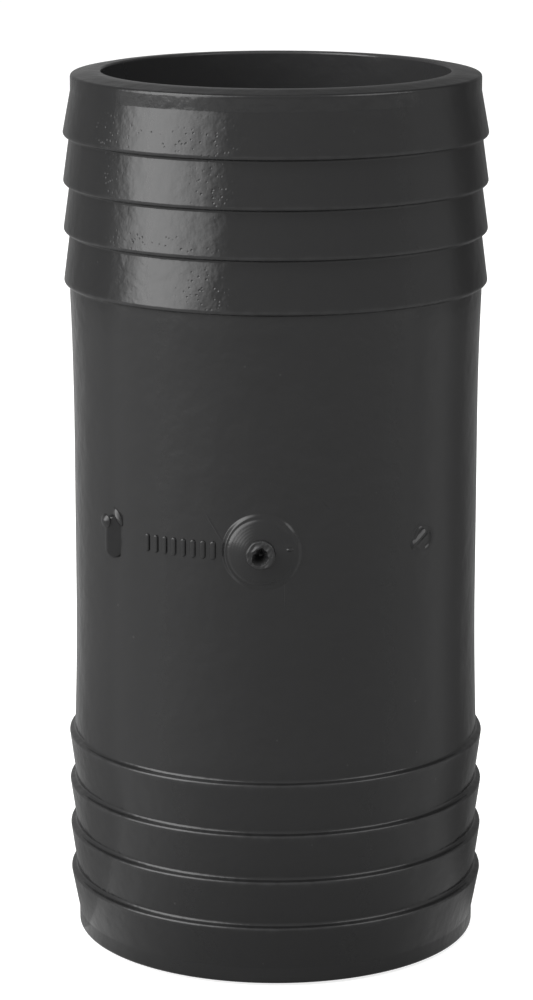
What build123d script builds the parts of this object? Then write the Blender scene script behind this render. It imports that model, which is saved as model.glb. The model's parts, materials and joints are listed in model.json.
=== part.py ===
from build123d import *
import math
import os

# Barbed hose coupling, moulded in one piece of dark grey plastic.
# A thick plain tube with four saw-tooth barbs at each end. A hose goes over either end, up to
# the last barb, and the plain run between the two ends carries the gate boss of the moulding.
# Millimetres. The origin is the middle of the lower end, +Z runs up the bore, and the gate
# boss faces -Y.

# Tube
length = 112.5
bore_radius = 22.0
waist_wall = 3.87
# The plain run is straight at its waist, and swells a little towards the barbs at each end
waist_length = 20.0
shoulder_rise = 0.33

# Barbs of one end, counted from the end face
barb_count = 4
first_tip = 8.05
barb_pitch = 6.05
last_pitch = 6.6
# How far the roots between barbs stand out from the waist
root_rise = 0.25
barb_height = 0.84
# The blunt crest of a tip, and the axial run of the step behind it
tip_width = 0.3
step_run = 0.12

# End face: a flat crest ring beside the bore, then a shallow slope to a bevelled outer edge,
# and a short straight land before the first barb
crest_width = 1.4
nose_drop = 0.36
nose_bevel = 0.6
nose_step = 0.2
nose_land = 1.95
bore_edge_break = 0.3

# Gate boss at mid-length: a low cone with a lip, and the stub where the sprue broke off
gate_radius = 4.7
gate_lip = 0.14
gate_rise = 0.8
gate_edge_break = 0.12
stub_radius = 1.75
stub_height = 0.95
stub_edge_break = 0.2
pit_radius = 0.95
pit_floor_radius = 0.5
pit_depth = 0.9

# Upright pad on the left. Its flat face is square to -Y, the way the mould opens, so it is
# flush with the wall on its inner side and stands proud on its outer side
oval_pad_side = 18.95
oval_pad_drop = 0.2
oval_pad_height = 5.4
oval_pad_width = 2.3
oval_pad_edge_break = 0.35

# Ring-shaped pad on the right, square to the wall, at an angle round the tube from the gate
round_pad_angle = 48.5
round_pad_drop = 0.3
round_pad_proud = 0.4
round_pad_radius = 1.75
round_hollow_radius = 0.95
round_hollow_depth = 0.3
cross_rib_width = 0.6
cross_rib_tilt = 28.0

# A row of plain upright ribs between the oval pad and the gate boss, with widths as angles
rib_count = 8
rib_first_angle = -34.0
rib_last_angle = -13.5
rib_angle = 1.6
rib_height = 2.3
rib_proud = 0.2

# How deep raised features start inside the wall
rooting = 0.8

waist_radius = bore_radius + waist_wall
shoulder_radius = waist_radius + shoulder_rise
root_radius = waist_radius + root_rise
tip_radius = root_radius + barb_height
nose_radius = root_radius - nose_step
crest_radius = bore_radius + crest_width
middle = length / 2


def tip_places():
    """Distance of each barb tip from its own end face."""
    places = [first_tip + barb_pitch * index for index in range(barb_count - 1)]
    places.append(places[-1] + last_pitch)
    return places


def end_outline():
    """Radius and height of the corners of the lower end, from the bore to the plain run."""
    corners = [
        (bore_radius, bore_edge_break),
        (bore_radius + bore_edge_break, 0),
        (crest_radius, 0),
        (nose_radius - nose_bevel, nose_drop),
        (nose_radius, nose_drop + nose_bevel),
        (nose_radius, nose_land),
    ]
    tips = tip_places()
    for tip in tips:
        foot_radius = shoulder_radius if tip == tips[-1] else root_radius
        corners.append((tip_radius, tip - tip_width))
        corners.append((tip_radius, tip))
        corners.append((foot_radius, tip + step_run))
    return corners


def tube():
    """The tube with both barbed ends: one section revolved about the bore's axis."""
    lower = end_outline()
    upper = [(radius, length - height) for radius, height in lower]
    waist_low = (waist_radius, middle - waist_length / 2)
    waist_high = (waist_radius, middle + waist_length / 2)
    edge = Polyline(*lower)
    edge += TangentArc(waist_low, lower[-1], tangent=(0, -1))
    edge += Line(waist_low, waist_high)
    edge += TangentArc(waist_high, upper[-1], tangent=(0, 1))
    edge += Polyline(*upper[::-1])
    edge += Line(upper[0], lower[0])
    return revolve(Plane.XZ * make_face(edge), Axis.Z)


def gate_boss():
    """The round boss of the gate and its broken stub, turned about a line along -Y."""
    cone_top = gate_lip + gate_rise
    stub_top = cone_top + stub_height
    profile = Polyline(
        (0, -rooting),
        (gate_radius, -rooting),
        (gate_radius, gate_lip - gate_edge_break),
        (gate_radius - gate_edge_break, gate_lip),
        (stub_radius, cone_top),
        (stub_radius, stub_top - stub_edge_break),
        (stub_radius - stub_edge_break, stub_top),
        (pit_radius, stub_top),
        (pit_floor_radius, stub_top - pit_depth),
        (0, stub_top - pit_depth),
        (0, -rooting),
    )
    boss = revolve(make_face(profile), Axis.Y)
    return Pos(0, -waist_radius, middle) * Rot(0, 0, 180) * boss


def wall_front(sideways):
    """How far the wall of the waist stands towards -Y at a distance to one side of the bore."""
    return math.sqrt(waist_radius**2 - sideways**2)


def oval_pad():
    """The upright pad on the left: a slot drawn straight along -Y, with a bevelled edge."""
    inner_side = oval_pad_side - oval_pad_width / 2
    outer_side = oval_pad_side + oval_pad_width / 2
    face = wall_front(inner_side + oval_pad_edge_break)
    root = wall_front(outer_side) - rooting
    place = (-oval_pad_side, -root, middle - oval_pad_drop)
    start = Plane(origin=place, x_dir=(1, 0, 0), z_dir=(0, -1, 0))
    body = extrude(start * SlotOverall(oval_pad_height, oval_pad_width, 90), face - root)
    return chamfer(body.faces().sort_by(Axis.Y)[0].edges(), oval_pad_edge_break)


def wall_plane(angle, height, out):
    """A plane near the plain run, facing outwards, at an angle round the tube from the gate."""
    turn = math.radians(angle)
    outward = Vector(math.sin(turn), -math.cos(turn), 0)
    sideways = Vector(math.cos(turn), math.sin(turn), 0)
    place = outward * (waist_radius + out) + Vector(0, 0, height)
    return Plane(origin=place, x_dir=sideways, z_dir=outward)


def round_pad():
    """The ring-shaped pad on the right, with one slanting rib across its hollow."""
    height = middle - round_pad_drop
    root = wall_plane(round_pad_angle, height, -rooting)
    floor = wall_plane(round_pad_angle, height, round_pad_proud - round_hollow_depth)
    rib = Rot(0, 0, cross_rib_tilt) * Rectangle(4 * round_hollow_radius, cross_rib_width)
    body = extrude(root * Circle(round_pad_radius), rooting + round_pad_proud)
    return body - extrude(floor * (Circle(round_hollow_radius) - rib), 2 * round_hollow_depth)


def rib_row():
    """The row of equal upright ribs, each a short turn of one rectangle about the bore's axis."""
    inner_radius = waist_radius - rooting
    outer_radius = waist_radius + rib_proud
    section = Pos((inner_radius + outer_radius) / 2, middle) * Rectangle(
        outer_radius - inner_radius, rib_height
    )
    rib = revolve(Plane.XZ * section, Axis.Z, rib_angle)
    pitch = (rib_last_angle - rib_first_angle) / (rib_count - 1)
    centre = -90 + rib_first_angle - rib_angle / 2
    return [Rot(0, 0, centre + pitch * index) * rib for index in range(rib_count)]


coupling = tube() + gate_boss() + oval_pad() + round_pad() + rib_row()

os.makedirs("parts", exist_ok=True)
export_step(coupling, "parts/coupling.step")
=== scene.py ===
import json
import math

import bpy
import numpy as np
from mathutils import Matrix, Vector


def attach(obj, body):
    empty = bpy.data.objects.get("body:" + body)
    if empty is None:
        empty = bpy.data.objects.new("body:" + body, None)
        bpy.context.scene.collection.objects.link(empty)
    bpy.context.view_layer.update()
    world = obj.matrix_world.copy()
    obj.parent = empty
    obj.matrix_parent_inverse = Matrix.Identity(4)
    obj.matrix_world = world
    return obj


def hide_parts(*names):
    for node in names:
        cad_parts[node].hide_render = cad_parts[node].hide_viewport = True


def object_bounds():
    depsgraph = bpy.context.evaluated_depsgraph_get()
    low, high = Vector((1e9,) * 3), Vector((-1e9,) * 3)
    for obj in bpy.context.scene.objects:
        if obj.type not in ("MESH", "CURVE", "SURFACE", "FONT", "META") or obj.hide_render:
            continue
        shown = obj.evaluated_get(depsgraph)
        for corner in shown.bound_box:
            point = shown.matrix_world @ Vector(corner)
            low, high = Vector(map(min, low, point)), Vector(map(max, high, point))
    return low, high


# A barbed hose coupling, moulded in one piece of dark grey plastic, on a pale studio floor.
# Sizes are in millimetres and become metres when a piece is made. Angles round the tube are in
# degrees from the gate boss, which faces -Y, and grow towards +X.

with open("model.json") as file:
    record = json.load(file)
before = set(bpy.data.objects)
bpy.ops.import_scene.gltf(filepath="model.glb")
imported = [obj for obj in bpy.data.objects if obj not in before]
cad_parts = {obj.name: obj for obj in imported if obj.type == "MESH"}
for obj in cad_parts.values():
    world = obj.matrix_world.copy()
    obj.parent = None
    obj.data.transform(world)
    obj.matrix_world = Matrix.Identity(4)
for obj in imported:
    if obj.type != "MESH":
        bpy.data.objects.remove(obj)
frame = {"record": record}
cad_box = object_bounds()

MM = 0.001
BODY = "root"

# Tube: its length, widest radius and bore come with the frame
length = cad_box[1].z / MM
tip_radius = cad_box[1].x / MM
bore_radius = frame["record"]["mounts"][0]["dims"]["r_mm"]
middle = length / 2

# Barbs of one end, counted from the end face, and the axial run of the step behind a tip
barb_count = 4
first_tip = 8.05
barb_pitch = 6.05
last_pitch = 6.6
barb_height = 0.84
step_run = 0.2
lower_tip_rounding = 0.28
upper_tip_rounding = 0.45
lower_root_rounding = 0.38
upper_root_rounding = 0.3
root_radius = tip_radius - barb_height

# End face: a crest beside the bore, a shallow slope, a rounded outer edge and a short land
crest_width = 1.4
crest_rounding = 5.0
nose_drop = 0.47
nose_rounding = 0.4
nose_step = 0.2
nose_land = 2.5
land_rounding = 0.5
nose_radius = root_radius - nose_step
bore_rounding = 0.3
bore_edge_run = 3.0

# Plain run between the barbs: a straight waist that swells to a shoulder at each end
root_rise = 0.25
waist_radius = root_radius - root_rise
waist_length = 20.0
shoulder_rise = 0.33
shoulder_land = 1.5

# Points of the tube's section: how far apart they lie on a straight run and in the bore, how
# close to a rounding a straight run has its first one, how many degrees an arc turns from one
# to the next, and how many the plain run has
run_step = 1.0
bore_step = 6.0
run_margin = 0.08
arc_step = 13.0
waist_points = 42

# Slow waves of the moulded wall, as rows for a sum of sines over turn and height, and how far
# inside the outer radius of the ends they have faded out
wave_height = 0.012
wall_waves = (
    (3, 0.11, 0.0, 1.0),
    (7, -0.23, 1.3, 0.7),
    (13, 0.41, 0.4, 0.4),
)
wave_fade = 0.3

# How far the rub of handling reaches from an edge; its lighter colour is partly wear and partly a
# painted highlight
rub_reach = 0.3

# Pitted places of the upper barbs: angle round the tube and height, and how far each spreads
pitted_places = (
    (-31.0, 106.6, 11.0, 1.3),
    (-48.0, 106.4, 5.0, 2.2),
    (-14.0, 106.4, 6.0, 2.2),
    (-13.0, 100.2, 5.0, 2.0),
    (-47.0, 100.5, 4.0, 2.0),
    (-30.0, 93.8, 14.0, 1.0),
    (-15.0, 88.5, 6.0, 2.0),
)

# Gate boss, where the angles round the tube start: a low cone with a lip. The lip is highest on
# the side gate_lip_side, in degrees round the boss from straight up, and its least height is a
# share of that
gate_angle = 0.0
gate_radius = 4.7
gate_lip = 0.2
gate_lip_least = 0.15
gate_lip_side = -50.0
gate_rise = 0.87
gate_bend = 1.25
gate_edge = 0.3
gate_skirt_sink = 0.03
gate_groove_radius = 4.2
gate_groove_depth = 0.05
gate_groove_width = 0.16
tool_ring_pitch = 0.34
tool_ring_depth = 0.0025
gate_hub_radius = 2.0

# The stub where the sprue broke off. Its waver and its torn top are rows for sums of sines
stub_radius = 1.8
stub_height = 0.62
stub_rounding = 0.22
stub_hub_radius = 0.3
stub_waver = ((3, 0, 0.7, 0.015), (8, 0, 0.0, 0.015))
tear_height = 0.02
tear_waves = (
    (5.1, 2.3, 0.0, 1.0),
    (-3.7, 6.3, 1.0, 1.0),
    (11, -7, 2.0, 0.6),
)

# The pit in the stub, how far it lies below the stub's axis, and the run of its slope
pit_radius = 1.05
pit_depth = 1.6
pit_drop = 0.25
pit_slope = 0.9
pit_waver = ((2, 0, 0.6, 0.12), (3, 0, 2.1, 0.06), (7, 0, 0.0, 0.04))

# How far inside the stub's side the hollow under it starts, and how wide its edge is
hollow_edge = 0.12

# A sliver left standing beside the pit: its middle, sideways and up from the stub's axis, and
# its tilt in radians
sliver_place = (-0.5, 0.82)
sliver_tilt = 0.6
sliver_half_length = 0.65
sliver_half_width = 0.2
sliver_height = 0.15

# Upright pad on the left. Its flat face is square to -Y, the way the mould opens, and level
# with the wall where that is oval_pad_flush to the side
oval_pad_side = 18.95
oval_pad_drop = 0.2
oval_pad_height = 5.4
oval_pad_width = 2.3
oval_pad_rounding = 0.4
oval_pad_flush = 18.15
oval_pad_depth = 3.0
oval_pad_face_rings = (0.93, 0.7)

# Ring-shaped pad on the right, higher on one side, with a slanting ridge across it
round_pad_angle = 48.8
round_pad_radius = 1.45
round_pad_lift = 0.02
round_rim_proud = 0.17
round_rim_width = 0.26
round_rim_lean = 0.35
round_rim_side = 0.3
round_outer_radius = 2.3
round_edge_width = 0.3
round_edge_sink = 0.08
round_hub_radius = 0.69
cross_ridge_tilt = 33.0
cross_ridge_lift = 0.5
cross_ridge_shift = -0.7
cross_ridge_width = 0.42
cross_ridge_proud = 0.34
cross_ridge_half_length = 1.9

# A row of plain upright ribs between the oval pad and the gate boss, with widths as angles
rib_count = 8
rib_first_angle = -34.0
rib_last_angle = -13.5
rib_angle = 1.6
rib_height = 2.3
rib_proud = 0.24
rib_rounding = 0.2
rib_face_ring = 0.9
rib_back_inset = 0.2

# How deep raised features start inside the wall
rooting = 0.8
burr_rooting = 0.4

# Thin burrs on the wall: angle round the tube, sideways and up from mid-length there, height
# above the waist, half length, half width and height of the burr, and its tilt
pad_burr = (-45.6, (0.0, 2.35), 0.0, (1.35, 0.62, 0.42), -49.0)
pad_dot = (-47.8, (-0.1, 1.8), 1.05, (0.95, 0.9, 0.45), 0.0)
gate_burr = (0.0, (3.45, 0.5), 0.44, (0.55, 0.24, 0.18), 4.0)

# Faint raised lines on the wall: ends across and up from the gate, and half the width
line_ends = ("From Across", "From Up", "To Across", "To Up", "Half Width")
flow_lines = (
    (-7.4, 5.2, -4.4, 0.4, 0.2),
    (2.9, -3.3, 2.9, -7.4, 0.12),
    (7.2, 6.6, 8.6, 5.2, 0.2),
)
line_height = 0.045

# Plastic: its colour, how far that drifts, a lighter grey in the bore that is painted light, its
# rubbed edges, lighter partly from wear and partly as a painted highlight, and the dust on it
plastic_colour = (0.008, 0.008, 0.0082)
drifted_colour = (0.0095, 0.0095, 0.0097)
# The bore's lighter grey is painted light that brightens the inside of the bore
bore_painted_light = (0.022, 0.022, 0.0224)
# The rubbed colour is lighter partly as wear and partly as a painted highlight along the barb tips
# and end faces
rubbed_and_highlit_colour = (0.03, 0.03, 0.0305)
dust_colour = (0.025, 0.025, 0.0245)
specular_level = 0.28
moulded_skin = {
    "Peel Scale": 800.0,
    "Peel Height": 0.055,
    "Pit Scale": 1600.0,
    "Pit Depth": 0.06,
    "Pit Share": 0.95,
}
gate_skin = {
    "Peel Scale": 1400.0,
    "Peel Height": 0.008,
    "Pit Scale": 1200.0,
    "Pit Depth": 0.01,
    "Pit Share": 0.3,
}
torn_skin = {
    "Peel Scale": 2600.0,
    "Peel Height": 0.06,
    "Pit Scale": 2400.0,
    "Pit Depth": 0.04,
    "Pit Share": 0.5,
}

# Roughness of each finish, how far it drifts and what wear adds to it, how far worn edges show,
# lighter partly from wear and partly as a painted highlight, and how far a torn face looks worn
moulded_roughness = 0.15
gate_roughness = 0.2
torn_roughness = 0.4
roughness_drift = 0.06
worn_roughness = 0.05
moulded_rub = 0.3
gate_rub = 0.5
torn_rub = 0.5
torn_wear = 0.12

# Scales of the noises that the colour and the roughness drift with
colour_scale = 60.0
gloss_scale = 350.0

# How far the bore's lighter grey, which is painted light, runs past its radius: full up to the
# first, gone at the second
bore_painted_light_edge = (0.1, 0.5)

# Skin: scale and weight of its coarse noise beside the fine one, the distances from a cell's
# centre between which a pit deepens, the scale of clusters beside the pits, the levels of their
# noise between which pits come in, and the blur between cells with a pit and cells without
coarse_scale = 0.28
coarse_weight = 2.0
pit_rise = (0.3, 0.05)
cluster_scale = 0.1
cluster_rise = (0.32, 0.44)
pit_choice_blur = 0.02

# Rub: the scale of its grain, how far it shows, and the products of rub and grain between
# which wear and its painted highlight come in
rub_values = {"Grain Scale": 700.0, "Amount": 0.5}
rub_rise = (0.15, 0.6)

# Dust: its cells, the size of a speck in them, the share of them that carry one, and the blur
# of a speck's edge and of that choice
dust_values = {"Speck Scale": 500.0, "Speck Size": 0.06, "Share": 0.05}
speck_blur = 0.03
speck_choice_blur = 0.01

# Studio: lamps as azimuth and elevation in degrees, distance and size in metres, and power.
# The softbox fades in and out sideways, over the first two and the last two shares of its
# width
surround_level = 0.3
floor_colour = 0.5
floor_roughness = 0.9
floor_specular = 0.1
floor_glow = 0.8
floor_reach = 6000.0
softbox = (-59.5, 29.5, 0.9, (1.43, 1.06), 34.5)
softbox_fade = (0.06, 0.42, 0.5, 1.02)
fill = (70, 40, 1.0, (0.64, 0.64), 3.8)
top_lamp = (20, 80, 0.9, (0.5, 0.5), 4.0)

# Painted reflection screen: a glowing grey sheet seen only in the coupling's reflections, whose
# darker parts paint shade into them. How bright it is at a few angles round from the gate, and its
# profile as distance from the axis, height and share of that brightness
screen_angles = (
    70.0, 80.0, 86.0, 90.0, 94.0, 98.0, 102.0, 107.0, 113.0,
    125.0, 156.0, 180.0, 204.0, 225.0, 255.0, 275.0, 284.0,
)
screen_levels = (
    1.0, 0.97, 0.92, 0.82, 0.68, 0.52, 0.4, 0.3, 0.25,
    0.28, 0.25, 0.28, 0.4, 0.45, 0.48, 0.8, 1.15,
)
screen_profile = (
    (25.0, 0.15, 0.25),
    (28.5, 0.15, 0.45),
    (60.0, 0.15, 0.78),
    (60.0, 30.0, 0.97),
    (60.0, 72.0, 1.0),
    (60.0, 84.0, 0.62),
    (60.0, 114.0, 0.62),
    (60.0, 124.0, 0.6),
    (60.0, 400.0, 0.6),
)

# The shares of the screen's profile at its first angle, and the degrees over which they change
screen_start_shares = (0.45, 0.65, 0.9, 0.97, 1.0, 1.0, 1.0, 1.0, 1.0)
screen_ease = 30.0

# Painted reflection card on the floor round the front, in the same way: it glows, is seen only in
# reflections, and is darker next to the foot as a painted shadow
card_angles = (-115.0, -90.0, -76.0, -60.0, -40.0, -20.0, 0.0, 30.0, 70.0, 90.0, 115.0)
card_levels = (0.8, 1.1, 1.25, 1.45, 1.3, 1.1, 1.0, 1.0, 1.05, 1.0, 0.8)
card_profile = (
    (25.0, 0.1, 0.45),
    (28.5, 0.1, 0.65),
    (60.0, 0.1, 0.9),
    (200.0, 0.1, 1.0),
    (400.0, 0.1, 1.1),
    (800.0, 0.1, 1.35),
)

# How many columns of points a painted reflection sheet has
sheet_columns = 145

# Camera: where the photograph was taken from
camera_distance = 440.7
camera_height = 158.7
camera_azimuth = 3.8
camera_pitch = 13.01
camera_turn = 0.154
lens_length = 125.96
film_length = 36.0

# The nearest and farthest that the camera sees, in metres
sight = (0.01, 50.0)


def mesh_piece(name, points, faces, material, rub=0.0, pitted=0.0):
    """A smooth mesh made of points in millimetres and faces, riding on the one body.

    rub is how far each point's edge is worn and lightened as a painted highlight, and pitted how
    deep its pits are, both from 0 to 1. They stay with the mesh as attributes.
    """
    mesh = bpy.data.meshes.new(name)
    mesh.from_pydata((points * MM).tolist(), [], faces)
    mesh.polygons.foreach_set("use_smooth", np.ones(len(mesh.polygons), bool))
    for key, value in (("rub", rub), ("pitted", pitted)):
        share = mesh.attributes.new(key, "FLOAT", "POINT")
        value = np.repeat(np.ravel(value), len(points) // np.size(value))
        share.data.foreach_set("value", value.astype(np.float32))
    mesh.materials.append(material)
    mesh.update()
    piece = bpy.data.objects.new(name, mesh)
    bpy.context.scene.collection.objects.link(piece)
    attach(piece, BODY)
    return piece


def lattice(rows, columns, wrap_rows):
    """Corner numbers of the quads of a grid whose columns go all the way round."""
    row, column = np.meshgrid(
        np.arange(rows if wrap_rows else rows - 1), np.arange(columns), indexing="ij"
    )
    next_row = (row + 1) % rows
    next_column = (column + 1) % columns
    corners = np.stack(
        [
            row * columns + column,
            row * columns + next_column,
            next_row * columns + next_column,
            next_row * columns + column,
        ],
        axis=-1,
    )
    return corners.reshape(-1, 4)


def polar_faces(rings, columns, start):
    """Corner numbers of rings of points closed at both ends, counted from start.

    Quads join the rings, and fans close the two poles, which are the last two points.
    """
    here = np.arange(columns)
    following = (here + 1) % columns
    last_ring = (rings - 1) * columns
    first_pole = np.full(columns, rings * columns)
    quads = lattice(rings, columns, False)
    first_fan = np.stack([following, here, first_pole], axis=-1)
    last_fan = np.stack([last_ring + here, last_ring + following, first_pole + 1], axis=-1)
    fans = np.concatenate([first_fan, last_fan])
    return (quads + start).tolist() + (fans + start).tolist()


def directions(columns):
    """Angles evenly spread round a full circle, in radians, as one row."""
    return np.linspace(0, 2 * math.pi, columns, endpoint=False)[None, :]


def sines(rows, first, second=0.0):
    """A sum of sines over two coordinates.

    Each row holds how fast its sine turns with the first and the second of them, its start and
    its share of the sum.
    """
    return sum(
        share * np.sin(first_rate * first + second_rate * second + start)
        for first_rate, second_rate, start, share in rows
    )


def tilted(across, up, lean):
    """The same places in axes that are turned by an angle, in radians."""
    return (
        across * math.cos(lean) + up * math.sin(lean),
        up * math.cos(lean) - across * math.sin(lean),
    )


def unit(vector):
    """The vector at length one."""
    return vector / np.linalg.norm(vector)


def divided(start, end, step, margin=0.0):
    """Points strictly between two places, evenly spaced at most step apart.

    With a margin the first and last of them lie that far from the ends, where there is room.
    """
    reach = np.linalg.norm(end - start)
    if 0 < 3 * margin < reach:
        count = math.ceil((reach - 2 * margin) / step)
        share = np.linspace(margin / reach, 1 - margin / reach, count + 1)[:, None]
    else:
        count = max(1, math.ceil(reach / step))
        share = np.arange(1, count)[:, None] / count
    return start + (end - start) * share


def rounded(corners):
    """Points along straight runs whose inner corners are arcs.

    corners holds rows of across, along and rounding. The arc at a corner touches both runs:
    its centre lies on the corner's bisector, rounding / sin(half the inner angle) away, and
    its points turn evenly from one touching point to the other. A straight run has points
    close to both its ends, so that it is shaded as straight right up to the arcs.
    """
    places = np.array([corner[:2] for corner in corners], float)
    roundings = [corner[2] for corner in corners]
    chunks = [places[:1]]
    for index in range(1, len(places) - 1):
        here = places[index]
        to_last = unit(places[index - 1] - here)
        to_next = unit(places[index + 1] - here)
        half = math.acos(np.clip(to_last @ to_next, -1.0, 1.0)) / 2
        reach = roundings[index] / math.tan(half)
        centre = here + unit(to_last + to_next) * roundings[index] / math.sin(half)
        from_last = here + to_last * reach
        to_start = from_last - centre
        to_end = here + to_next * reach - centre
        turn = math.pi - 2 * half
        count = max(2, round(math.degrees(turn) / arc_step))
        share = np.linspace(0, 1, count + 1)[:, None]
        arc = np.sin((1 - share) * turn) * to_start + np.sin(share * turn) * to_end
        chunks.append(divided(chunks[-1][-1], from_last, run_step, run_margin))
        chunks.append(centre + arc / math.sin(turn))
    chunks.append(divided(chunks[-1][-1], places[-1], run_step, run_margin))
    chunks.append(places[-1:])
    return np.concatenate(chunks)


def tip_places():
    """Distance of each barb tip from its own end face."""
    places = [first_tip + barb_pitch * index for index in range(barb_count - 1)]
    return places + [places[-1] + last_pitch]


def end_section(tip_rounding, root_rounding):
    """Radius and height of one end's outline, from inside the bore to the waist, seen as lower."""
    tips = tip_places()
    shoulder_radius = waist_radius + shoulder_rise
    corners = [
        (bore_radius, bore_edge_run, 0),
        (bore_radius, 0, bore_rounding),
        (bore_radius + crest_width, 0, crest_rounding),
        (nose_radius, nose_drop, nose_rounding),
        (nose_radius, nose_land, land_rounding),
    ]
    for tip in tips:
        foot_radius = shoulder_radius if tip == tips[-1] else root_radius
        corners.append((tip_radius, tip, tip_rounding))
        corners.append((foot_radius, tip + step_run, root_rounding))
    corners.append((shoulder_radius, tips[-1] + shoulder_land, 0))
    return rounded(corners)


def tube_section():
    """Radius and height all round the tube's wall: lower end, waist, upper end and bore.

    The waist is straight over its middle, and beyond that its radius grows with the square of
    the distance, up to the shoulder beside the last barb.
    """
    lower = end_section(lower_tip_rounding, lower_root_rounding)
    upper = end_section(upper_tip_rounding, upper_root_rounding)[::-1]
    upper = np.stack([upper[:, 0], length - upper[:, 1]], axis=-1)
    height = np.linspace(lower[-1, 1], upper[0, 1], waist_points)[1:-1]
    run = middle - lower[-1, 1] - waist_length / 2
    beyond = np.clip(np.abs(height - middle) - waist_length / 2, 0, None)
    waist = np.stack([waist_radius + shoulder_rise * (beyond / run) ** 2, height], axis=-1)
    bore = divided(upper[-1], lower[0], bore_step)
    return np.concatenate([lower, waist, upper, bore])


def pit_share(turn, height):
    """How deep the pits are, from 0 to 1: a bell curve round each pitted place, added up."""
    angle = np.degrees(turn)
    share = np.zeros(np.broadcast(turn, height).shape)
    for place, level, spread, rise in pitted_places:
        away = (angle - place + 180) % 360 - 180
        share = share + np.exp(-((away / spread) ** 2) - ((height - level) / rise) ** 2)
    return np.clip(share, 0, 1)


def barbed_tube(material, columns=288):
    """The tube with both barbed ends, as its wall's section carried round the bore's axis.

    Slow waves take a little off its outside, as a sum of sines over turn and height. Rub, which
    marks worn edges and a painted highlight along them, is a bell curve of the distance to the
    nearest tip and to the end faces.
    """
    section = tube_section()
    radius = section[:, :1]
    height = section[:, 1:]
    turn = directions(columns)
    outer = np.clip((radius - nose_radius + wave_fade) / wave_fade, 0, 1)
    waves = sines(wall_waves, turn, height) / sum(row[-1] for row in wall_waves)
    radius = radius - wave_height * outer * (1 + waves)
    points = np.stack(
        [radius * np.sin(turn), -radius * np.cos(turn), height + np.zeros_like(radius)],
        axis=-1,
    )
    faces = lattice(len(section), columns, True).tolist()
    tips = np.array(tip_places())
    tips = np.concatenate([tips - lower_tip_rounding / 2, length - tips + upper_tip_rounding / 2])
    to_tip = np.abs(height - tips).min(axis=1, keepdims=True)
    to_end = np.minimum(height, length - height)
    rub = outer * (np.exp(-((to_tip / rub_reach) ** 2)) + np.exp(-((to_end / rub_reach) ** 2)))
    pitted = outer * pit_share(turn, height)
    return mesh_piece("barbed_tube", points.reshape(-1, 3), faces, material, rub, pitted)


def quarter_circle(radius, count):
    """A rounded edge from its top to its side: how far each point is set in, and how far down."""
    bend = np.linspace(0, math.pi / 2, count)
    return radius * (1 - np.sin(bend)), radius * (1 - np.cos(bend))


def wall_drop(sideways):
    """How far the round wall falls back from its tangent plane at a distance sideways."""
    return waist_radius - np.sqrt(waist_radius**2 - sideways**2)


def on_wall(angle, sideways, up, out):
    """Points in the frame of a place on the waist, at mid-length and at an angle from the gate.

    They are given sideways, up and out from the plane that touches the wall there.
    """
    turn = math.radians(angle)
    outward = np.array([math.sin(turn), -math.cos(turn), 0.0])
    along = np.array([math.cos(turn), math.sin(turn), 0.0])
    upward = np.array([0.0, 0.0, 1.0])
    points = (
        sideways[..., None] * along
        + (middle + up)[..., None] * upward
        + (waist_radius + out)[..., None] * outward
    )
    return points.reshape(-1, 3)


def wall_mark(angle, sideways, up, out, start=0):
    """Points and faces of a closed mark on the wall, with its corners counted from start.

    Its rings begin round the middle of its face and end on its back, inside the wall. A pole
    closes the first ring and another the last one.
    """
    poles = [np.array([rows[0].mean(), rows[-1].mean()]) for rows in (sideways, up, out)]
    points = np.concatenate([on_wall(angle, sideways, up, out), on_wall(angle, *poles)])
    return points, polar_faces(*sideways.shape, start)


def backed(turn, sideways, up, out, hub_radius, level):
    """Rings round a middle, with two more for a flat back: the outermost one and a small hub."""
    sideways = np.concatenate([sideways, sideways[-1:], hub_radius * np.sin(turn)])
    up = np.concatenate([up, up[-1:], hub_radius * np.cos(turn)])
    out = np.concatenate([out, np.full((2, turn.size), level)])
    return sideways, up, out


def gate_boss(material, columns=192, rings=110, first_ring=0.2):
    """The round boss of the gate, as a height over each distance and direction from its axis.

    Inside a smooth step at its edge it has a lip, a cone that bends as a power of the share of
    the way in, a groove as a bell curve and fine tool rings as a sine. The lip is lower on one
    side, as one plus a cosine of the direction, squared. Outside the step it follows the round
    wall, and under the stub it is hollow, to make room for the pit.
    """
    turn = directions(columns)
    distance = np.linspace(first_ring, gate_radius + gate_edge, rings)[:, None]
    sideways = distance * np.sin(turn)
    up = distance * np.cos(turn)
    share = np.clip((gate_radius + gate_edge - distance) / (2 * gate_edge), 0, 1)
    step = share**2 * (3 - 2 * share)
    lean = ((1 + np.cos(turn - math.radians(gate_lip_side))) / 2) ** 2
    cone_radius = gate_radius - gate_edge
    slope = np.clip((cone_radius - distance) / (cone_radius - stub_radius), 0, 1)
    to_groove = (distance - gate_groove_radius) / gate_groove_width
    tool_rings = np.sin(2 * math.pi * distance / tool_ring_pitch) * (distance < gate_groove_radius)
    hollow = np.clip((stub_radius - hollow_edge - distance) / hollow_edge, 0, 1)
    out = gate_lip * (gate_lip_least + (1 - gate_lip_least) * lean) * step
    out = out + gate_rise * (1 - (1 - slope) ** gate_bend)
    out = out - gate_groove_depth * np.exp(-(to_groove**2)) + tool_ring_depth * tool_rings
    out = out - (1 - step) * (wall_drop(sideways) + gate_skirt_sink) - pit_depth * hollow
    rows = backed(turn, sideways, up, out, gate_hub_radius, -rooting)
    return mesh_piece("gate_boss", *wall_mark(gate_angle, *rows), material)


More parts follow.
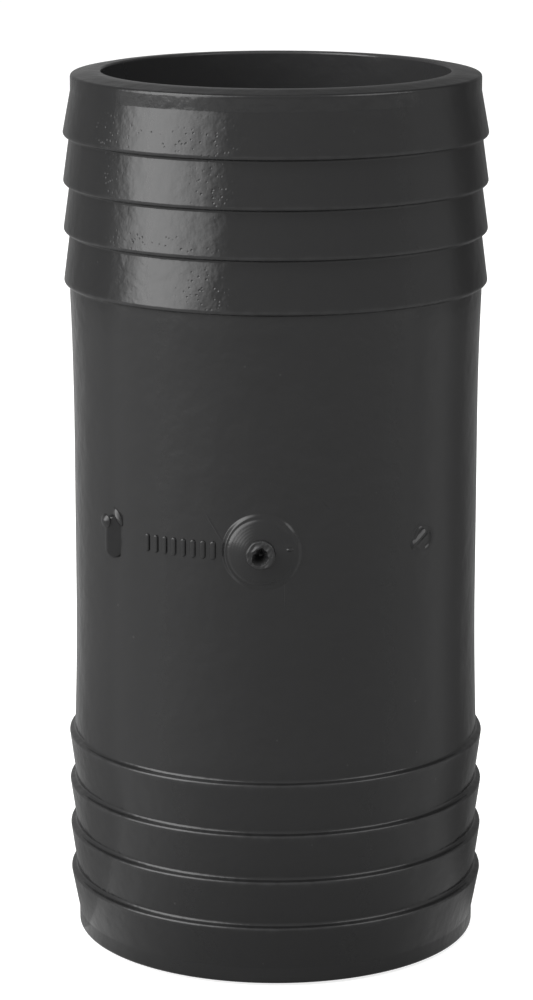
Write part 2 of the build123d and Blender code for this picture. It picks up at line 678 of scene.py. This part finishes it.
def sprue_stub(material, columns=144, rings=44, first_ring=0.06):
    """The broken stub of the sprue, as a height over each distance and direction from its axis.

    The torn top is a sum of sines across it, inside a rounded edge. The pit is cut away inside
    an edge that wavers with direction, and a sliver stands up beside it as a long narrow bell
    curve, flat-topped lengthways by a fourth power.
    """
    turn = directions(columns)
    inset, drop = quarter_circle(stub_rounding, 8)
    flat = np.linspace(first_ring, stub_radius - stub_rounding, rings)
    distance = np.concatenate([flat, stub_radius - inset[1:]])
    drop = np.concatenate([np.zeros(rings), drop[1:]])
    sideways = distance[:, None] * np.sin(turn)
    up = distance[:, None] * np.cos(turn)
    edge = pit_radius * (1 + sines(pit_waver, turn))
    pit = np.clip((edge - np.hypot(sideways, up + pit_drop)) / pit_slope, 0, 1)
    along, across = tilted(sideways - sliver_place[0], up - sliver_place[1], sliver_tilt)
    along = along / sliver_half_length
    across = across / sliver_half_width
    out = gate_lip + gate_rise + stub_height - drop[:, None]
    out = out + tear_height * sines(tear_waves, sideways, up)
    out = out + sliver_height * np.exp(-(along**4) - across**2) - pit_depth * pit
    waver = 1 + sines(stub_waver, turn)
    rows = backed(turn, sideways * waver, up * waver, out, stub_hub_radius, -rooting / 2)
    return mesh_piece("sprue_stub", *wall_mark(gate_angle, *rows), material)


def slot_rings(half_height, half_width, inset, columns):
    """Rings of an upright slot, each set in from the last: half circles moved up and down."""
    turn = directions(columns) + math.pi / columns
    reach = half_width - inset[:, None]
    sideways = reach * np.sin(turn)
    up = reach * np.cos(turn) + np.sign(np.cos(turn)) * (half_height - half_width)
    return sideways, up


def oval_pad(material, columns=112):
    """The upright pad on the left: a slot drawn straight along -Y, with a rounded edge.

    Its rings are set in from the slot's outline. The face is flat, the edge is a quarter
    circle, and the side runs straight back into the wall.
    """
    half_width = oval_pad_width / 2
    face = half_width * np.array(oval_pad_face_rings)
    inset, drop = quarter_circle(oval_pad_rounding, 9)
    inset = np.concatenate([face, inset, [0.0]])
    back = np.concatenate([np.zeros(len(face)), drop, [oval_pad_depth]])
    sideways, up = slot_rings(oval_pad_height / 2, half_width, inset, columns)
    out = -wall_drop(oval_pad_flush) - back[:, None]
    mark = wall_mark(gate_angle, sideways - oval_pad_side, up - oval_pad_drop, out)
    return mesh_piece("oval_pad", *mark, material)


def round_pad(material, columns=96, rings=60, first_ring=0.04):
    """The ring-shaped pad on the right, with a slanting ridge across it.

    Heights are bell curves: the ring's over the distance from the middle, and the ridge's
    over the distance from its own line, faded at both ends by a sixth power. The higher of the
    two counts, down to the pad's edge, which dips under the wall.
    """
    turn = directions(columns)
    distance = np.linspace(first_ring, round_outer_radius, rings)[:, None]
    sideways = distance * np.sin(turn)
    up = distance * np.cos(turn)
    ring = round_rim_proud * np.exp(-(((distance - round_pad_radius) / round_rim_width) ** 2))
    ring = ring * (1 + round_rim_lean * np.sin(turn + round_rim_side))
    along, across = tilted(sideways, up, math.radians(cross_ridge_tilt))
    along = (along - cross_ridge_shift) / cross_ridge_half_length
    across = (across - cross_ridge_lift) / cross_ridge_width
    ridge = cross_ridge_proud * np.exp(-(across**2) - along**6)
    edge = np.clip((round_outer_radius - distance) / round_edge_width, 0, 1)
    out = np.maximum(ring, ridge) * edge + round_pad_lift
    out = out - round_edge_sink * (1 - edge) - wall_drop(sideways)
    rows = backed(turn, sideways, up, out, round_hub_radius, -rooting)
    return mesh_piece("round_pad", *wall_mark(round_pad_angle, *rows), material)


def rib_row(material, columns=40):
    """The row of equal upright ribs, each a slot with a rounded edge, joined as one piece."""
    half_width = waist_radius * math.radians(rib_angle) / 2
    inset, drop = quarter_circle(rib_rounding, 7)
    inset = np.concatenate([[half_width * rib_face_ring], inset, [0.0, rib_back_inset]])
    out = np.concatenate([[rib_proud], rib_proud - drop, [-rooting, -rooting]])[:, None]
    sideways, up = slot_rings(rib_height / 2, half_width, inset, columns)
    points = []
    faces = []
    for angle in np.linspace(rib_first_angle, rib_last_angle, rib_count):
        start = sum(len(rib) for rib in points)
        rib_points, rib_faces = wall_mark(angle, sideways, up, out, start)
        points.append(rib_points)
        faces += rib_faces
    return mesh_piece("rib_row", np.concatenate(points), faces, material)


def burr(name, material, angle, place, out, size, tilt, columns=40, rings=12, first_ring=0.08):
    """A thin raised burr: a long dome over an ellipse, as one minus the distance squared.

    place is sideways and up from mid-length at that angle, and size is half the length, half
    the width and the height. Its back has a hub of half its size.
    """
    turn = directions(columns)
    reach = np.linspace(first_ring, 1.0, rings)[:, None]
    dome = out + size[2] * (1 - reach**2)
    reach = np.concatenate([reach, reach[-1:] / 2])
    dome = np.concatenate([dome, dome[-1:] - burr_rooting])
    along = reach * size[0] * np.cos(turn)
    across = -reach * size[1] * np.sin(turn)
    sideways, up = tilted(along, across, -math.radians(tilt))
    return mesh_piece(name, *wall_mark(angle, sideways + place[0], up + place[1], dome), material)


def camera():
    """The camera at the photograph's viewing angle, turned a little off the bore's axis."""
    data = bpy.data.cameras.new("camera")
    data.lens = lens_length
    data.sensor_width = film_length
    data.clip_start, data.clip_end = sight
    view = bpy.data.objects.new("camera", data)
    turn = math.radians(camera_azimuth)
    place = (
        camera_distance * math.sin(turn),
        -camera_distance * math.cos(turn),
        camera_height,
    )
    view.location = Vector(place) * MM
    view.rotation_euler = (
        math.radians(90 - camera_pitch),
        0,
        turn + math.radians(camera_turn),
    )
    bpy.context.scene.collection.objects.link(view)
    bpy.context.scene.camera = view


def put(tree, kind, inputs=None, **settings):
    """A node with its settings. Each input is given a value, or joined to another socket."""
    made = tree.nodes.new(kind)
    for name, value in settings.items():
        setattr(made, name, value)
    for key, value in (inputs or {}).items():
        if isinstance(value, bpy.types.NodeSocket):
            tree.links.new(value, made.inputs[key])
        else:
            made.inputs[key].default_value = value
    return made


def calc(tree, operation, *values):
    """The result of one operation on numbers or sockets."""
    return put(tree, "ShaderNodeMath", dict(enumerate(values)), operation=operation).outputs[0]


def ramp(tree, value, low, high):
    """A value's smooth step from 0 at low to 1 at high."""
    made = put(
        tree,
        "ShaderNodeMapRange",
        {"Value": value, "From Min": low, "From Max": high},
        interpolation_type="SMOOTHSTEP",
    )
    return made.outputs["Result"]


def mixed(tree, share, first, second):
    """A colour between two others, each given as three numbers or as a socket."""
    made = put(tree, "ShaderNodeMix", {0: share}, data_type="RGBA")
    for index, colour in ((6, first), (7, second)):
        if isinstance(colour, bpy.types.NodeSocket):
            tree.links.new(colour, made.inputs[index])
        else:
            made.inputs[index].default_value = (*colour, 1)
    return made.outputs[2]


def object_place(tree):
    """The place of a point in its piece's own coordinates, in metres."""
    return put(tree, "ShaderNodeTexCoord").outputs["Object"]


def noise(tree, place, scale, detail):
    """Smooth noise from 0 to 1."""
    inputs = {"Vector": place, "Scale": scale, "Detail": detail}
    return put(tree, "ShaderNodeTexNoise", inputs).outputs[0]


def cells(tree, place, scale):
    """Sockets for the distance to the nearest cell's centre and for that cell's own colour."""
    return put(tree, "ShaderNodeTexVoronoi", {"Vector": place, "Scale": scale}).outputs


def chosen_cells(tree, colour, channel, share, blur):
    """One in a share of the cells and zero in the others, by one channel of their colours."""
    chance = put(tree, "ShaderNodeSeparateColor", {"Color": colour}).outputs[channel]
    return ramp(tree, calc(tree, "SUBTRACT", chance, share), blur, -blur)


def own_value(tree, name):
    """The value that a piece's points carry under a name."""
    return put(tree, "ShaderNodeAttribute", attribute_name=name).outputs["Fac"]


def number_group(name, inputs, output):
    """A node group with named number inputs and one number output.

    It comes with the sockets of its inputs and the socket of its result.
    """
    group = bpy.data.node_groups.new(name, "ShaderNodeTree")
    for socket, value in inputs.items():
        made = group.interface.new_socket(socket, in_out="INPUT", socket_type="NodeSocketFloat")
        made.default_value = value
    group.interface.new_socket(output, in_out="OUTPUT", socket_type="NodeSocketFloat")
    given = group.nodes.new("NodeGroupInput").outputs
    return group, given, group.nodes.new("NodeGroupOutput").inputs[0]


def used_group(tree, name, values):
    """A node that uses a node group, with some of the group's inputs given their values."""
    made = put(tree, "ShaderNodeGroup", node_tree=groups[name])
    for key, value in values.items():
        made.inputs[key].default_value = value
    return made


def skin_group():
    """Height in millimetres of a moulded skin.

    It is fine noise and coarse noise added up, less small round pits. A pit is a smooth step
    of the distance to the nearest cell's centre, kept in a share of the cells, where a slow
    noise lets them come in clusters.
    """
    group, given, result = number_group("moulded skin", moulded_skin, "Height")
    place = object_place(group)
    fine = noise(group, place, given["Peel Scale"], detail=2.0)
    slower = calc(group, "MULTIPLY", given["Peel Scale"], coarse_scale)
    coarse = noise(group, place, slower, detail=1.0)
    peel = calc(group, "MULTIPLY_ADD", coarse, coarse_weight, fine)
    peel = calc(group, "MULTIPLY", peel, given["Peel Height"])
    cell = cells(group, place, given["Pit Scale"])
    pit = ramp(group, cell["Distance"], *pit_rise)
    chosen = chosen_cells(group, cell["Color"], 0, given["Pit Share"], pit_choice_blur)
    slower = calc(group, "MULTIPLY", given["Pit Scale"], cluster_scale)
    cluster = ramp(group, noise(group, place, slower, detail=1.0), *cluster_rise)
    pit = calc(group, "MULTIPLY", calc(group, "MULTIPLY", pit, chosen), cluster)
    depth = calc(group, "MULTIPLY", pit, given["Pit Depth"])
    group.links.new(calc(group, "SUBTRACT", peel, depth), result)
    return group


def rub_group():
    """Mask of worn edges, also used as a painted highlight: the piece's own rub, broken up by
    noise along the edge.
    """
    group, given, result = number_group("rubbed edge", rub_values, "Mask")
    place = object_place(group)
    rub = own_value(group, "rub")
    grain = noise(group, place, given["Grain Scale"], detail=3.0)
    worn_and_highlit = ramp(group, calc(group, "MULTIPLY", rub, grain), *rub_rise)
    group.links.new(calc(group, "MULTIPLY", worn_and_highlit, given["Amount"]), result)
    return group


def dust_group():
    """Mask of fine dust: a few cells carry one small speck each, at the cell's centre."""
    group, given, result = number_group("fine dust", dust_values, "Mask")
    cell = cells(group, object_place(group), given["Speck Scale"])
    past_speck = calc(group, "SUBTRACT", cell["Distance"], given["Speck Size"])
    speck = ramp(group, past_speck, speck_blur, -speck_blur)
    chosen = chosen_cells(group, cell["Color"], 1, given["Share"], speck_choice_blur)
    group.links.new(calc(group, "MULTIPLY", speck, chosen), result)
    return group


def dot(tree, first, second):
    """The sum of the products of two pairs of numbers or sockets."""
    return calc(
        tree, "MULTIPLY_ADD", first[0], second[0], calc(tree, "MULTIPLY", first[1], second[1])
    )


def line_group():
    """Mask of one thin straight line on the unrolled wall, in millimetres from the gate.

    Across is the angle round the tube times the wall's radius, and up is the height from
    mid-length. The line's own share runs from 0 to 1 between its ends, held there, and the
    mask is a smooth step of the distance to that point. It fades towards both ends, as four
    times the share times what is left of it.
    """
    ends = dict(zip(line_ends, flow_lines[0]))
    group, given, result = number_group("thin line", ends, "Mask")
    parts = put(group, "ShaderNodeSeparateXYZ", {"Vector": object_place(group)}).outputs
    angle = calc(group, "ARCTAN2", parts["X"], calc(group, "MULTIPLY", parts["Y"], -1.0))
    across = calc(group, "MULTIPLY", angle, waist_radius)
    up = calc(group, "MULTIPLY_ADD", parts["Z"], 1 / MM, -middle)
    run = (
        calc(group, "SUBTRACT", given["To Across"], given["From Across"]),
        calc(group, "SUBTRACT", given["To Up"], given["From Up"]),
    )
    off = (
        calc(group, "SUBTRACT", across, given["From Across"]),
        calc(group, "SUBTRACT", up, given["From Up"]),
    )
    square = dot(group, run, run)
    share = calc(group, "DIVIDE", dot(group, off, run), square)
    share = put(group, "ShaderNodeClamp", {"Value": share}).outputs[0]
    away = [
        calc(group, "SUBTRACT", part, calc(group, "MULTIPLY", share, step))
        for part, step in zip(off, run)
    ]
    away = calc(group, "SQRT", dot(group, away, away))
    near = ramp(group, calc(group, "DIVIDE", away, given["Half Width"]), 1.0, 0.0)
    fade = calc(group, "MULTIPLY", share, calc(group, "SUBTRACT", 1.0, share))
    fade = calc(group, "MULTIPLY", fade, 4.0)
    group.links.new(calc(group, "MULTIPLY", near, fade), result)
    return group


def plastic(name, roughness, skin, rub, lines=(), wear=0.0, barbed=False):
    """Dark grey moulded plastic, with its own values for skin, edge rub, lines and wear. Its
    rubbed edges are lighter partly from wear and partly as a painted highlight.

    On the barbed tube the pits come where its points say so, and the bore is a lighter grey, which
    is painted light inside the bore.
    """
    material = bpy.data.materials.new(name)
    material.use_nodes = True
    tree = material.node_tree
    shader = tree.nodes["Principled BSDF"]
    shader.inputs["Specular IOR Level"].default_value = specular_level
    place = object_place(tree)
    height = used_group(tree, "skin", skin)
    if barbed:
        depth = calc(tree, "MULTIPLY", own_value(tree, "pitted"), skin["Pit Depth"])
        tree.links.new(depth, height.inputs["Pit Depth"])
    height = height.outputs["Height"]
    for line in lines:
        mask = used_group(tree, "line", dict(zip(line_ends, line))).outputs["Mask"]
        height = calc(tree, "MULTIPLY_ADD", mask, line_height, height)
    worn_and_highlit = used_group(tree, "rub", {"Amount": rub}).outputs["Mask"]
    dust = used_group(tree, "dust", {}).outputs["Mask"]
    cloud = noise(tree, place, colour_scale, detail=3.0)
    colour = mixed(tree, cloud, plastic_colour, drifted_colour)
    if barbed:
        # The bore's lighter grey is painted light: it brightens the inside of the bore in place of
        # light reaching it
        level = put(tree, "ShaderNodeVectorMath", {0: place, 1: (1, 1, 0)}, operation="MULTIPLY")
        from_axis = put(tree, "ShaderNodeVectorMath", {0: level.outputs[0]}, operation="LENGTH")
        full, gone = ((bore_radius + edge) * MM for edge in bore_painted_light_edge)
        inside = ramp(tree, from_axis.outputs["Value"], gone, full)
        colour = mixed(tree, inside, colour, bore_painted_light)
    # Rubbed edges are lighter: partly wear, partly a painted highlight along the barb tips and end
    # faces
    colour = mixed(tree, calc(tree, "MAXIMUM", worn_and_highlit, wear), colour, rubbed_and_highlit_colour)
    colour = mixed(tree, dust, colour, dust_colour)
    tree.links.new(colour, shader.inputs["Base Color"])
    fine = noise(tree, place, gloss_scale, detail=2.0)
    gloss = calc(tree, "MULTIPLY_ADD", fine, roughness_drift, roughness - roughness_drift / 2)
    gloss = calc(tree, "MULTIPLY_ADD", worn_and_highlit, worn_roughness, gloss)
    tree.links.new(gloss, shader.inputs["Roughness"])
    bump = put(tree, "ShaderNodeBump", {"Height": height, "Distance": MM, "Strength": 1.0})
    tree.links.new(bump.outputs["Normal"], shader.inputs["Normal"])
    return material


def background_rays(tree):
    """One for rays that show the background: straight ones, reflected ones and refracted ones."""
    path = put(tree, "ShaderNodeLightPath").outputs
    shown = calc(tree, "MAXIMUM", path["Is Camera Ray"], path["Is Glossy Ray"])
    return calc(tree, "MAXIMUM", shown, path["Is Transmission Ray"])


def stage_sheet(name, points, faces, material):
    """One sheet of the studio, from points in millimetres and faces."""
    mesh = bpy.data.meshes.new(name)
    mesh.from_pydata((points * MM).tolist(), [], faces)
    mesh.materials.append(material)
    sheet = bpy.data.objects.new(name, mesh)
    bpy.context.scene.collection.objects.link(sheet)
    return sheet


def soft_lamp(name, azimuth, elevation, distance, size, strength, fade=None, mirrored=True):
    """A rectangular soft lamp that faces the middle of the coupling, placed by its angles.

    With fade it rises from dark at fade's first share of its width to full at the second, and
    falls again from the third to the last. Unless it is mirrored, it isn't seen in reflections.
    """
    data = bpy.data.lights.new(name, "AREA")
    data.shape = "RECTANGLE"
    data.size, data.size_y = size
    data.energy = strength
    lamp = bpy.data.objects.new(name, data)
    turn = math.radians(azimuth)
    rise = math.radians(elevation)
    level = math.cos(rise)
    out = Vector((math.sin(turn) * level, -math.cos(turn) * level, math.sin(rise)))
    lamp.location = Vector((0, 0, middle * MM)) + out * distance
    lamp.rotation_euler = out.to_track_quat("Z", "Y").to_euler()
    lamp.visible_glossy = mirrored
    bpy.context.scene.collection.objects.link(lamp)
    if fade:
        data.use_nodes = True
        tree = data.node_tree
        across = put(tree, "ShaderNodeNewGeometry").outputs["Parametric"]
        across = put(tree, "ShaderNodeSeparateXYZ", {"Vector": across}).outputs["X"]
        rising = ramp(tree, across, fade[0], fade[1])
        falling = ramp(tree, across, fade[3], fade[2])
        both = calc(tree, "MULTIPLY", rising, falling)
        tree.links.new(both, tree.nodes["Emission"].inputs["Strength"])


def studio():
    """A white floor and surround, a big soft lamp on the left, and two lesser ones.

    The floor is pale under the lamps, and its own glow for the rays that show it lifts it to
    white, so the coupling's shadow stays on it as a pale grey.
    """
    world = bpy.data.worlds.new("studio")
    bpy.context.scene.world = world
    world.use_nodes = True
    tree = world.node_tree
    glow = calc(tree, "MULTIPLY_ADD", background_rays(tree), 1 - surround_level, surround_level)
    tree.links.new(glow, tree.nodes["Background"].inputs["Strength"])
    tree.nodes["Background"].inputs["Color"].default_value = (1, 1, 1, 1)
    material = bpy.data.materials.new("pale_floor")
    material.use_nodes = True
    tree = material.node_tree
    shader = tree.nodes["Principled BSDF"]
    shader.inputs["Base Color"].default_value = (floor_colour, floor_colour, floor_colour, 1)
    shader.inputs["Roughness"].default_value = floor_roughness
    shader.inputs["Specular IOR Level"].default_value = floor_specular
    shader.inputs["Emission Color"].default_value = (1, 1, 1, 1)
    glow = calc(tree, "MULTIPLY", background_rays(tree), floor_glow)
    tree.links.new(glow, shader.inputs["Emission Strength"])
    corners = np.array([(-1, -1, 0), (1, -1, 0), (1, 1, 0), (-1, 1, 0)]) * floor_reach
    stage_sheet("floor", corners, [(0, 1, 2, 3)], material)
    soft_lamp("softbox", *softbox, softbox_fade)
    soft_lamp("fill", *fill)
    soft_lamp("top", *top_lamp, mirrored=False)


def painted_reflection_sheet(name, angles, levels, profile, start_shares=None):
    """A glowing grey sheet close round the coupling, seen in its reflections alone: it paints
    their light and shade.

    Its profile is carried round the bore's axis. Its grey is one share that depends on the
    angle times one that depends on how far along the profile a point lies. The second may
    start from other shares at the first angle, and then changes evenly with the angle.
    """
    angle = np.linspace(angles[0], angles[-1], sheet_columns)
    turn = np.radians(angle)[None, :]
    out, up, share = np.array(profile).T[:, :, None]
    if start_shares:
        ease = np.clip((angle - angles[0]) / screen_ease, 0, 1)
        share = share + (np.array(start_shares)[:, None] - share) * (1 - ease)
    points = np.stack([out * np.sin(turn), -out * np.cos(turn), up + 0 * turn], axis=-1)
    corner = np.arange((len(profile) - 1) * sheet_columns).reshape(-1, sheet_columns)
    corner = corner[:, :-1].reshape(-1)
    above = corner + sheet_columns
    faces = np.stack([corner, corner + 1, above + 1, above], axis=-1)
    material = bpy.data.materials.new(name)
    material.use_nodes = True
    tree = material.node_tree
    tree.nodes.remove(tree.nodes["Principled BSDF"])
    # The sheet's glow is a painted reflection, darker where it paints shade into the reflections
    glow = put(tree, "ShaderNodeEmission", {"Strength": own_value(tree, "level")})
    tree.links.new(glow.outputs[0], tree.nodes["Material Output"].inputs["Surface"])
    sheet = stage_sheet(name, points.reshape(-1, 3), faces.tolist(), material)
    level = share * np.interp(angle, angles, levels)[None, :]
    grey = sheet.data.attributes.new("level", "FLOAT", "POINT")
    grey.data.foreach_set("value", level.ravel().astype(np.float32))
    sheet.visible_camera = False
    sheet.visible_diffuse = False
    sheet.visible_shadow = False


groups = {"skin": skin_group(), "rub": rub_group(), "dust": dust_group(), "line": line_group()}
moulded = plastic(
    "moulded_plastic", moulded_roughness, moulded_skin, moulded_rub, flow_lines, barbed=True
)
turned = plastic("turned_gate_plastic", gate_roughness, gate_skin, gate_rub)
broken = plastic("torn_plastic", torn_roughness, torn_skin, torn_rub, wear=torn_wear)

tube = barbed_tube(moulded)
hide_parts("coupling")
gate_boss(turned)
sprue_stub(broken)
oval_pad(moulded)
round_pad(moulded)
rib_row(moulded)
burr("pad_burr", moulded, *pad_burr)
burr("pad_dot", moulded, *pad_dot)
burr("gate_burr", turned, *gate_burr)
camera()
studio()
# Glowing sheets seen only in reflections: painted reflections, with painted shade next to the foot
painted_reflection_sheet("grey_screen", screen_angles, screen_levels, screen_profile, screen_start_shares)
painted_reflection_sheet("grey_card", card_angles, card_levels, card_profile)

bpy.context.scene.view_settings.view_transform = "Standard"
